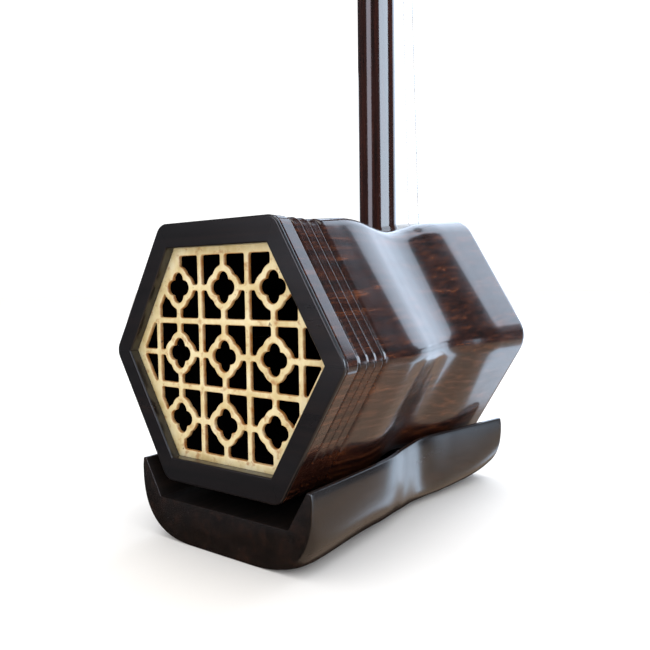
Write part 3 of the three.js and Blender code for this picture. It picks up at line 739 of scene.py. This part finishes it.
def opening_corner(name, sign):
    """The corner of the window opening at one end of a side, as (out, across)."""
    across = (OPENING_SIDE - OPENING_TOP / 2) / (ROOT3 / 2)
    if name in ("top", "bottom"):
        return OPENING_TOP, sign * across
    to_flat = (OPENING_TOP * ROOT3 - across) / 2
    towards_flat = 1 if name in ("upper_right", "lower_left") else -1
    return OPENING_SIDE, sign * (to_flat if sign == towards_flat else OPENING_SIDE / ROOT3)


def frame_section(outer, inner):
    """One station's closed section, from the back of the outer edge round the front to the lip."""
    outer, inner = Vector(outer), Vector(inner)
    run = (inner - outer).normalized()
    edge, lip, hold, lip_width = 0.0006, 0.0005, 0.00012, 0.0014
    section = [(outer, FRAME_DEPTH), (outer, edge + hold)]
    section += [(outer + run * inset, edge - along) for along, inset in quarter(edge, 5)]
    section += [(outer + run * (edge + hold), 0), (inner - run * (lip + hold), 0)]
    section += [(inner - run * (lip - along), inset) for along, inset in quarter(lip, 4)]
    section += [(inner, lip + hold), (inner, FRAME_LIP_DEPTH)]
    back = inner - run * lip_width
    return section + [(back, FRAME_LIP_DEPTH), (back, FRAME_DEPTH)]


def window_frame(material):
    """Six strips, each mitred at both ends, laid on the resonator's window end."""
    for name, degrees in SIDES.items():
        outline = side_outline(WINDOW_APOTHEM, CORNER_RADIUS_WINDOW)
        first, last = opening_corner(name, -1), opening_corner(name, 1)
        total = outline[-1][1] - outline[0][1]
        rings = []
        for out, across in outline:
            share = (across - outline[0][1]) / total
            inner = Vector(first).lerp(Vector(last), share)
            section = frame_section((out, across), inner)
            rings.append([side_point(degrees, p.x, p.y, WINDOW_Y - t) for p, t in section])
        obj = new_object(f"window_frame_{name}_fine", *loft(rings))
        dress(obj, material)


# ---- Lattice window ----

def lattice_layers(outline):
    """An outline in X and Z about the body's axis, on the plate's front and on its back."""
    front = WINDOW_Y - LATTICE_FRONT
    return [[(x, y, BODY_AXIS_Z + z) for x, z in outline] for y in (front, front - LATTICE_THICKNESS)]


def slab(outline):
    """A flat piece of the plate."""
    return loft(lattice_layers(outline))


def ribbon(outer, inner):
    """A closed band between two loops of equal counts of points, as thick as the plate."""
    count = len(outer)
    back = 2 * count
    points = [p for layer in lattice_layers(outer + inner) for p in layer]
    faces = []
    for i in range(count):
        j = (i + 1) % count
        o0, o1, n0, n1 = i, j, count + i, count + j
        faces += [(o0, o1, n1, n0), (o0 + back, n0 + back, n1 + back, o1 + back)]
        faces += [(o0, o0 + back, o1 + back, o1), (n0, n1, n1 + back, n0 + back)]
    return points, faces


def quatrefoil(x, z, radius):
    """The outline of four overlapping circles, each moved out from the middle."""
    reach = acos(LOBE_OFFSET / sqrt(2) / radius) - pi / 4
    half = pi / 2 - reach
    loop = []
    for k in range(4):
        out = k * pi / 2
        middle = x + LOBE_OFFSET * cos(out), z + LOBE_OFFSET * sin(out)
        loop += arc(*middle, radius, out - half, out + half, 12)
    return loop


def window_hexagon(top, side):
    across = (side - top / 2) / (ROOT3 / 2)
    vertex = side / (ROOT3 / 2)
    return [(vertex, 0), (across, top), (-across, top), (-vertex, 0), (-across, -top), (across, -top)]


def lattice_parts():
    """The border, bars, joints and quatrefoil rings, each a closed solid, overlapping."""
    grow, shrink = LATTICE_OVERLAP, -LATTICE_BORDER
    border = [window_hexagon(OPENING_TOP + d, OPENING_SIDE + d) for d in (grow, shrink)]
    parts = [ribbon(*border)]
    half = BAR_WIDTH / 2
    ring = LOBE_OFFSET + LOBE_HOLE_RADIUS + LOBE_RING_WIDTH / 2

    def reach_z(x):
        return min(OPENING_TOP, (OPENING_SIDE - abs(x) * ROOT3 / 2) * 2) - LATTICE_BORDER / 2

    def reach_x(z):
        return (OPENING_SIDE - abs(z) / 2) / (ROOT3 / 2) - LATTICE_BORDER / 2

    def bars(centre, ends, pitch, broken, upright):
        gaps = [k * pitch + side for k in (-1, 0, 1) for side in (-ring, ring)] if broken else []
        stops = [-ends, *gaps, ends]
        for low, high in zip(stops[::2], stops[1::2]):
            if high > low:
                left, right = centre - half, centre + half
                corners = [(left, low), (right, low), (right, high), (left, high)]
                parts.append(slab(corners if upright else [(b, a) for a, b in corners]))

    for column in (-3, -2, -1, 0, 1, 2, 3):
        x = column * PITCH_X / 2
        bars(x, reach_z(x), PITCH_Z, column % 2 == 0, True)
    for row in (-2, -1, 0, 1, 2):
        z = row * PITCH_Z / 2
        bars(z, reach_x(z), PITCH_X, row % 2 == 0, False)

    def joint(x, z):
        reach = NODE_CHAMFER
        parts.append(slab([(x - reach, z), (x, z - reach), (x + reach, z), (x, z + reach)]))

    for column in (-3, -1, 1, 3):
        for row in (-2, -1, 0, 1, 2):
            joint(column * PITCH_X / 2, row * PITCH_Z / 2)
    for column in (-1, 0, 1):
        for row in (-1, 0, 1):
            x, z = column * PITCH_X, row * PITCH_Z
            joint(x, z + PITCH_Z / 2)
            joint(x, z - PITCH_Z / 2)
            wide = LOBE_HOLE_RADIUS + LOBE_RING_WIDTH
            parts.append(ribbon(quatrefoil(x, z, wide), quatrefoil(x, z, LOBE_HOLE_RADIUS)))
    return parts


def window_lattice(material):
    points, faces = [], []
    for part_points, part_faces in lattice_parts():
        start = len(points)
        points += part_points
        faces += [tuple(start + i for i in face) for face in part_faces]
    obj = new_object("window_lattice_fine", points, faces)
    remesh = obj.modifiers.new("join", "REMESH")
    remesh.mode = "VOXEL"
    remesh.voxel_size = 0.0003
    relax = obj.modifiers.new("relax", "SMOOTH")
    relax.factor = 0.5
    relax.iterations = 5
    apply_modifiers(obj)
    return dress(obj, material, sharp=80)


# ---- Neck ----

def head_ring(angle, half_width, half_depth):
    """A section of the neck square to its axis, at an angle round the head's bend."""
    back = HEAD_BEND_RADIUS * (1 - cos(angle))
    up = NECK_STRAIGHT_TOP + HEAD_BEND_RADIUS * sin(angle)
    ring = []
    for c, s in circle(64):
        depth = half_depth * s
        ring.append(Vector((half_width * c, NECK_Y + back + depth * cos(angle),
                            up - depth * sin(angle))))
    return ring


def round_ring(z, radius):
    return [Vector((p.x, p.y, z)) for p in head_ring(0, radius, radius)]


def head_size(share):
    return (NECK_RADIUS_HIGH + (HEAD_HALF_WIDTH - NECK_RADIUS_HIGH) * share,
            NECK_RADIUS_HIGH + (HEAD_HALF_DEPTH - NECK_RADIUS_HIGH) * share)


def neck(material):
    chamfer = 0.0004
    rings = [round_ring(NECK_FOOT_Z, NECK_RADIUS_LOW - chamfer)]
    rings.append(round_ring(NECK_FOOT_Z + chamfer, NECK_RADIUS_LOW))
    rings += [round_ring(z, neck_radius(z)) for z in steps(0.02, 0.73, 60)]
    rings += [head_ring(HEAD_BEND_ANGLE * share, *head_size(share)) for share in steps(0, 1, 28)]
    obj = new_object("neck_fine", *loft(rings))
    holes = [cylinder("Y", PEG_SHAFT_RADIUS + PEG_HOLE_GAP, NECK_Y - 0.02, NECK_Y + 0.02, z)
             for z in PEG_Z.values()]
    cut(obj, *holes, cylinder("Z", SCREW_RADIUS + GAP, 0, PILOT_TOP, NECK_Y, 32))
    return dress(obj, material)


def head_inlay(material):
    size = head_size(1)
    along = Vector((0, sin(HEAD_BEND_ANGLE), cos(HEAD_BEND_ANGLE)))
    rounding, chamfer = 0.0011, 0.0002
    shoulder = INLAY_THICKNESS - rounding
    stations = [(0, chamfer), (chamfer, 0)]
    stations += moved(shoulder, quarter(rounding, 6))
    rings = []
    for distance, inset in stations:
        ring = head_ring(HEAD_BEND_ANGLE, size[0] - inset, size[1] - inset)
        rings.append([p + along * (GAP / 3 + distance) for p in ring])
    return dress(new_object("head_inlay_fine", *loft(rings)), material)


# ---- Base ----

def floor_height(t):
    """The recess floor follows the body's bottom flat, at a constant clearance."""
    return BODY_AXIS_Z - body_apothem(min(max(t, 0), BODY_LENGTH)) - FLOOR_CLEARANCE


def base_outline(t):
    """The cradle's half section from the underside's middle to the recess floor's middle."""
    half_width = base_curve(t)
    floor_z = floor_height(t)
    power = fullness_curve(t)
    side = half_width + BASE_SIDE_BULGE
    crest = BASE_RIM_Z - 0.003
    start = half_width * BASE_FLAT
    curve = []
    for angle in steps(0, pi / 2, 26):
        share = sin(angle)
        rise = 1 - (1 - share**power) ** (1 / power)
        curve.append((start + (side - start) * share, crest * rise))
    rim_outer, rim_inner = (half_width, BASE_RIM_Z), (half_width - BASE_LIP, BASE_RIM_Z)
    foot = (half_width - BASE_LIP - (BASE_RIM_Z - floor_z) / ROOT3, floor_z)
    half = [(0, 0)] + curve
    half += fillet(curve[-1], rim_outer, rim_inner, 0.0007, 4)
    half += fillet(rim_outer, rim_inner, foot, 0.0005, 4)
    half += fillet(rim_inner, foot, (0, floor_z), 0.0008, 4)
    return half + [(0, floor_z)]


def base_ring(t, inset):
    half = base_outline(t)
    outline = half + [(-x, z) for x, z in reversed(half[1:-1])]
    if inset:
        outline = inset_loop(outline, inset)
    return [(x, WINDOW_Y - t, z) for x, z in outline]


def inset_loop(loop, distance):
    """The loop moved inwards by a distance along its corners' normals. It runs anticlockwise."""
    loop = [Vector(p) for p in loop]
    inner = []
    for before, here, after in zip([loop[-1], *loop], loop, [*loop[1:], loop[0]]):
        normal = Vector((0.0, 0.0))
        for edge in (here - before, after - here):
            if edge.length > 1e-9:
                normal += Vector((-edge.y, edge.x)).normalized()
        inner.append(tuple(here + normal.normalized() * distance))
    return inner


def base(material, inside):
    """The cradle, with the neck's mortise, the screw's hole and the string pin's hole."""
    rounding = 0.0004
    far = moved(BASE_LENGTH - rounding, quarter(rounding, 5))
    near = [(BASE_LENGTH - t, inset) for t, inset in reversed(far)]
    middle = [(t, 0) for t in steps(rounding, BASE_LENGTH - rounding, 90)][1:-1]
    rings = [base_ring(t, inset) for t, inset in near + middle + far]
    obj = new_object("base_fine", *loft(rings))
    end_y = WINDOW_Y - BASE_LENGTH
    floor_z = floor_height(WINDOW_Y - NECK_Y)
    cut(obj,
        cylinder("Z", NECK_RADIUS_LOW + GAP, floor_z - MORTISE_DEPTH, 0.04, NECK_Y, 64),
        cylinder("Z", SCREW_RADIUS + GAP, -0.001, floor_z, NECK_Y, 32),
        cylinder("Z", SCREW_HEAD_RADIUS + GAP, -0.001, SCREW_HEAD_DEPTH + GAP, NECK_Y, 48),
        cylinder("Y", PIN_RADIUS + PIN_HOLE_GAP, end_y - 0.001, end_y + PIN_HOLE_DEPTH, PIN_Z, 32))
    dress(obj, material)
    obj.data.materials.append(inside)
    for face in obj.data.polygons:
        lip = base_curve(WINDOW_Y - face.center.y) - BASE_LIP * 1.2
        if face.normal.z > 0.3 and abs(face.center.x) < lip:
            face.material_index = 1
    return obj


def string_pin(material):
    """A pin with a rounded head, turned to hold two loops of string."""
    shoulder = PIN_STRING_Y - NECK_Y - 0.0016
    profile = [(0, shoulder - 0.0016), (0.0009, shoulder - 0.00158)]
    profile += arc(0.0017, shoulder - 0.0009, 0.0007, -pi / 2, 0, 6)
    profile += [(0.0024, shoulder - 0.0003), (0.0022, shoulder)]
    profile += [(PIN_RADIUS + 0.0002, shoulder + 0.0001), (PIN_RADIUS, shoulder + 0.0004),
                (PIN_RADIUS, shoulder + 0.0116), (0, shoulder + 0.012)]
    obj = turned("string_pin_fine", profile, PIN_Z, 32)
    return dress(obj, material)


# ---- Skin end ----

SCALE_WIDTH = 0.0062
SCALE_HEIGHT = 0.0074


def skin_relief(x, z):
    """How far a scale stands up at a place: a low dome inside each lozenge."""
    a = (x / SCALE_WIDTH + z / SCALE_HEIGHT) % 1
    b = (x / SCALE_WIDTH - z / SCALE_HEIGHT) % 1
    edge = min(a, 1 - a, b, 1 - b) * 2
    return 0.00016 * min(1.0, edge * 2.6) ** 0.5


def skin(material):
    """A disc of rings that shrink to the middle, with the scales raised on its outer face."""
    apothem = body_apothem(BODY_LENGTH) - SKIN_EDGE_ROUND - SKIN_INSET
    outline = []
    for degrees in SIDES.values():
        for out, across in side_outline(apothem, CORNER_RADIUS_SKIN, 18, 8)[:-1]:
            p = side_point(degrees, out, across, 0)
            outline.append((p.x, p.z - BODY_AXIS_Z))
    outline.sort(key=lambda p: atan2(p[1], p[0]))
    back_y, front_y = SKIN_FACE_Y + SKIN_THICKNESS, SKIN_FACE_Y
    rings = [[(x, back_y, BODY_AXIS_Z + z) for x, z in outline]]
    rings.append([(x, front_y + 0.0004, BODY_AXIS_Z + z) for x, z in outline])
    count = 130
    for i in range(count):
        scale = 1 - (i + 0.35) / count
        ring = []
        for x, z in outline:
            height = skin_relief(x * scale, z * scale + BODY_AXIS_Z)
            height *= smoothstep(1 - scale, 0, 0.03)
            ring.append((x * scale, front_y + 0.0002 - height, BODY_AXIS_Z + z * scale))
        rings.append(ring)
    obj = new_object("python_skin_fine", *loft(rings))
    return dress(obj, material, sharp=60)


def bridge(material):
    """An arched block with sloped shoulders and a notch for each string."""
    feet = SKIN_FACE_Y - GAP / 3
    crest = SKIN_FACE_Y - GAP - BRIDGE_HEIGHT
    foot = BRIDGE_FOOT
    outline = [(-foot, feet)]
    arch = foot - 0.004
    outline += arc(0, feet, arch, -pi, 0, 18)
    outline += [(foot, feet), (foot - 0.0006, feet - 0.0012)]
    shoulder = [(foot - 0.001, feet - 0.002), (foot - 0.0014, feet - 0.004), (foot - 0.0025, crest)]
    outline += shoulder
    notch = 0.0006
    for x in (NOTCH_X, -NOTCH_X):
        outline += [(x + notch, crest), (x, crest + notch), (x - notch, crest)]
    outline += [(-x, y) for x, y in reversed(shoulder)]
    outline.append((-foot + 0.0006, feet - 0.0012))
    rings = []
    half = 0.0023
    for k, narrowing in ((-1, 0.315), (-0.6, 0.0525), (0, 0), (0.6, 0.0525), (1, 0.315)):
        ring = []
        for x, y in outline:
            high = (feet - y) / (feet - crest)
            ring.append((x, y, BRIDGE_Z + k * half * (1 - narrowing * high)))
        rings.append(ring)
    obj = new_object("bridge_fine", *loft(rings))
    bevel(obj, 0.00018, 50)
    apply_modifiers(obj)
    return dress(obj, material)


def damper_felt(material):
    """A soft folded pad under the strings, crowned and fuzzy."""
    low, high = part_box("damper_felt")
    centre, half = (low + high) / 2, (high - low) / 2
    fuzz = random.Random(7)
    bm = bmesh.new()
    bmesh.ops.create_cube(bm, size=2)
    bmesh.ops.subdivide_edges(bm, edges=bm.edges, cuts=22, use_grid_fill=True)
    for vertex in bm.verts:
        p = vertex.co
        length = (abs(p.x) ** 7 + abs(p.y) ** 5 + abs(p.z) ** 7) ** (1 / 7)
        p = p / max(length, 1e-6)
        crown = 1 - 0.07 * (p.x**2 + p.z**2) / 2
        fold = 0.05 * exp(-((p.y - 0.1) / 0.12) ** 2) * (abs(p.x) > 0.8 or abs(p.z) > 0.8)
        jitter = 1 - fuzz.random() * 0.012 - fold
        vertex.co = centre + Vector((p.x * half.x, p.y * half.y * crown, p.z * half.z)) * jitter
    mesh = bpy.data.meshes.new("damper_felt_fine")
    bm.to_mesh(mesh)
    bm.free()
    obj = place("damper_felt_fine", mesh)
    dress(obj, material, sharp=80)
    return obj


# ---- Pegs ----

def peg(string, material):
    """Nose, shaft, one turned bead and a fluted handle."""
    nose = PEG_NOSE_RADIUS[string]
    tip = -0.033
    start, end = PEG_HANDLE
    profile = [(0, tip), (nose - 0.0006, tip), (nose - 0.0002, tip + 0.0002), (nose, tip + 0.0006)]
    profile += [(nose, -0.014), (PEG_SHAFT_RADIUS, -0.01), (PEG_SHAFT_RADIUS, 0.01)]
    for angle in steps(-pi / 2, pi / 2, 8):
        profile.append((0.0055 + 0.0011 * cos(angle), start - 0.0035 + 0.0015 * sin(angle)))
    swell = [(0, 0.0054), (0.006, 0.0058), (0.014, 0.0072), (0.04, 0.0106), (0.058, 0.0116),
             (0.068, 0.0108), (0.075, 0.0084)]
    handle = spline(moved(start, swell))
    profile += [(handle(y), y) for y in steps(start, end, 44)]
    profile.append((0, end))

    def flutes(cosine, y):
        begun = smoothstep(y, start + 0.002, start + 0.02)
        ended = smoothstep(y, end - 0.012, end - 0.002)
        four_turns = 8 * cosine**4 - 8 * cosine**2 + 1
        return 1 - 0.085 * begun * (1 - ended) * (1 - abs(four_turns) ** 0.8)

    obj = turned(f"{string}_peg_fine", profile, PEG_Z[string], 96, flutes)
    return dress(obj, material, body=f"{string}_peg_body", sharp=40)


def peg_cap(string, material):
    """A domed cap on the handle's end."""
    start = PEG_HANDLE[1] + GAP / 3
    shape = spline([(0, 0.0076), (0.0015, 0.008), (0.004, 0.0072), (0.0064, 0.0044), (0.007, 0.0006)])
    profile = [(0, start), (0.0072, start), (0.0075, start + 0.0002)]
    profile += [(shape(d), start + d) for d in steps(0.0005, PEG_CAP_LENGTH, 22)]
    obj = turned(f"{string}_peg_cap_fine", profile, PEG_Z[string], 64)
    return dress(obj, material, body=f"{string}_peg_body")


def winding(string, material):
    """The turns of string round the peg's nose, side by side."""
    low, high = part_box(f"{string}_winding")
    wire = STRING_RADIUS[string]
    radius = PEG_NOSE_RADIUS[string] + wire + WIRE_GAP
    first, last = low.y + wire, high.y - 3.2 * wire
    turns = (last - first) / (2.04 * wire)
    per_turn = 26
    count = int(turns * per_turn)
    path = []
    for i in range(count + 1):
        angle = 2 * pi * i / per_turn
        path.append((radius * cos(angle), first + (last - first) * i / count,
                     PEG_Z[string] + radius * sin(angle)))
    obj = tube(f"{string}_winding_fine", path, wire, 8)
    return dress(obj, material, body=f"{string}_peg_body", sharp=60)


# ---- Strings and the thread loop ----

def string_path(string):
    """Round the peg, through the thread loop, over the bridge's notch and round the pin."""
    side = STRING_SIDE[string]
    wire = STRING_RADIUS[string]
    peg_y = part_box(f"{string}_winding")[1].y - wire
    reach = PEG_NOSE_RADIUS[string] + wire + WIRE_GAP
    path = [Vector((side * x, peg_y, z))
            for x, z in arc(0, PEG_Z[string], reach, radians(300), 0, 40)]
    notch_y = SKIN_FACE_Y - GAP - BRIDGE_HEIGHT - wire
    pin_reach = PIN_RADIUS + wire + 0.00003
    corners = [
        Vector((side * LOOP_STRING_X, LOOP_STRING_Y, LOOP_Z + LOOP_REACH)),
        Vector((side * LOOP_STRING_X, LOOP_STRING_Y, LOOP_Z - LOOP_REACH)),
        Vector((side * NOTCH_X, notch_y, BRIDGE_Z)),
    ]
    pin_y = PIN_STRING_Y + (-0.0005 if string == "inner" else 0.0005)
    end = Vector((side * pin_reach, pin_y, PIN_Z))
    for previous, here, following in zip([path[-1], *corners], corners, [*corners[1:], end]):
        bend = 0.002
        before = here + (previous - here).normalized() * bend
        after = here + (following - here).normalized() * bend
        for share in steps(0, 1, 6):
            path.append(before.lerp(here, share).lerp(here.lerp(after, share), share))
    path += [Vector((side * x, pin_y, z))
             for x, z in arc(0, PIN_Z, pin_reach, 0, -radians(330), 40)]
    return path


def string(name, material):
    obj = tube(f"{name}_string_fine", string_path(name), STRING_RADIUS[name], 10)
    return dress(obj, material, sharp=60)


def thread_loop(material):
    """Turns of thread round the neck and both strings."""
    neck_reach = neck_radius(LOOP_Z - 0.03) + GAP + LOOP_THREAD / 2
    front_reach = LOOP_STRING_X + 0.001 + LOOP_THREAD / 2
    front_y = -0.0185
    lean = asin((neck_reach - front_reach) / -front_y)
    outline = arc(0, NECK_Y, neck_reach, -lean, pi + lean, 30)
    outline += arc(0, NECK_Y + front_y, front_reach, pi + lean, 2 * pi - lean, 14)
    low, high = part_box("thread_loop")
    first, last = low.z + LOOP_THREAD / 2, high.z - LOOP_THREAD / 2
    count = LOOP_TURNS * len(outline)
    path = []
    for i in range(count):
        x, y = outline[i % len(outline)]
        path.append((x, y, first + (last - first) * i / (count - 1)))
    obj = tube("thread_loop_fine", path, LOOP_THREAD / 2, 10)
    return dress(obj, material, body="thread_loop_body", sharp=60)


# ---- Assembly ----

camera()
studio()
floor()

STREAKED = {"dark": (0.008, 0.0035, 0.003), "mid": (0.038, 0.011, 0.006),
            "light": (0.18, 0.055, 0.018), "streak": 0.0018}
rosewood = {
    name: wood(f"rosewood_{name}", **STREAKED, shift=3.1 * index, roughness=0.2, gloss=0.5)
    for index, name in enumerate(SIDES)
}
darkwood = wood("darkwood", (0.005, 0.004, 0.004), (0.009, 0.006, 0.006), (0.02, 0.01, 0.007),
                along="X", streak=0.004, roughness=0.3, gloss=0.5, pores=0.35, shift=5)
EBONY = (0.006, 0.004, 0.003), (0.012, 0.007, 0.005)
basewood = wood("basewood", *EBONY, (0.035, 0.014, 0.008),
                streak=0.003, roughness=0.24, gloss=0.4, shift=8, specular=0.6, coat_roughness=0.2)
neckwood = wood("neckwood", (0.012, 0.005, 0.004), (0.035, 0.01, 0.007), (0.075, 0.02, 0.01),
                along="Z", streak=0.0022, roughness=0.12, gloss=0.6, shift=2)
pegwood = wood("pegwood", (0.012, 0.008, 0.007), (0.03, 0.015, 0.011), (0.06, 0.026, 0.016),
               streak=0.0018, roughness=0.24, gloss=0.4, pores=0.4, shift=4)
maple = wood("maple", (0.34, 0.18, 0.07), (0.5, 0.3, 0.13), (0.62, 0.41, 0.2),
             along="X", streak=0.0009, roughness=0.45, gloss=0.1, pores=0.2, figure=0.3, shift=6)
bone_finish = bone()
recess = wood("recess", *EBONY, (0.02, 0.01, 0.007), streak=0.003, roughness=0.7, gloss=0.0,
              pores=0.4, figure=0.4, shift=7, specular=0.1)
# Near-black wood for the resonator's inner walls: painted shade for the dark inside of the closed body,
# not the wood's own colour.
painted_shade_inside = wood("hollow_painted_shade", (0.0015, 0.001, 0.001), (0.003, 0.002, 0.0015), (0.005, 0.003, 0.002),
             streak=0.003, roughness=0.9, gloss=0.0, pores=0.3, figure=0.3, shift=9, specular=0.05)
steel = metal("steel", (0.62, 0.62, 0.64), 0.22)
brass = metal("brass", (0.72, 0.5, 0.2), 0.24)
felt = fabric("felt", (0.08, 0.006, 0.009), (0.17, 0.014, 0.02), 0.0004, sheen=0.3)
thread = fabric("thread", (0.06, 0.006, 0.008), (0.15, 0.015, 0.018), 0.0003, sheen=0.2)

side_panels(rosewood, painted_shade_inside)
window_frame(darkwood)
window_lattice(bone_finish)
neck(neckwood)
head_inlay(bone_finish)
base(basewood, recess)
string_pin(brass)
skin(snakeskin())
bridge(maple)
damper_felt(felt)
thread_loop(thread)
for name in ("inner", "outer"):
    peg(name, pegwood)
    peg_cap(name, bone_finish)
    winding(name, steel)
    string(name, steel)

for node, material, slot in (("base_screw", brass, "brass"), ("base_spacer", basewood, "basewood")):
    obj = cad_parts[node]
    obj.data.materials.clear()
    obj.data.materials.append(material)
    bevel(obj, 0.0003)
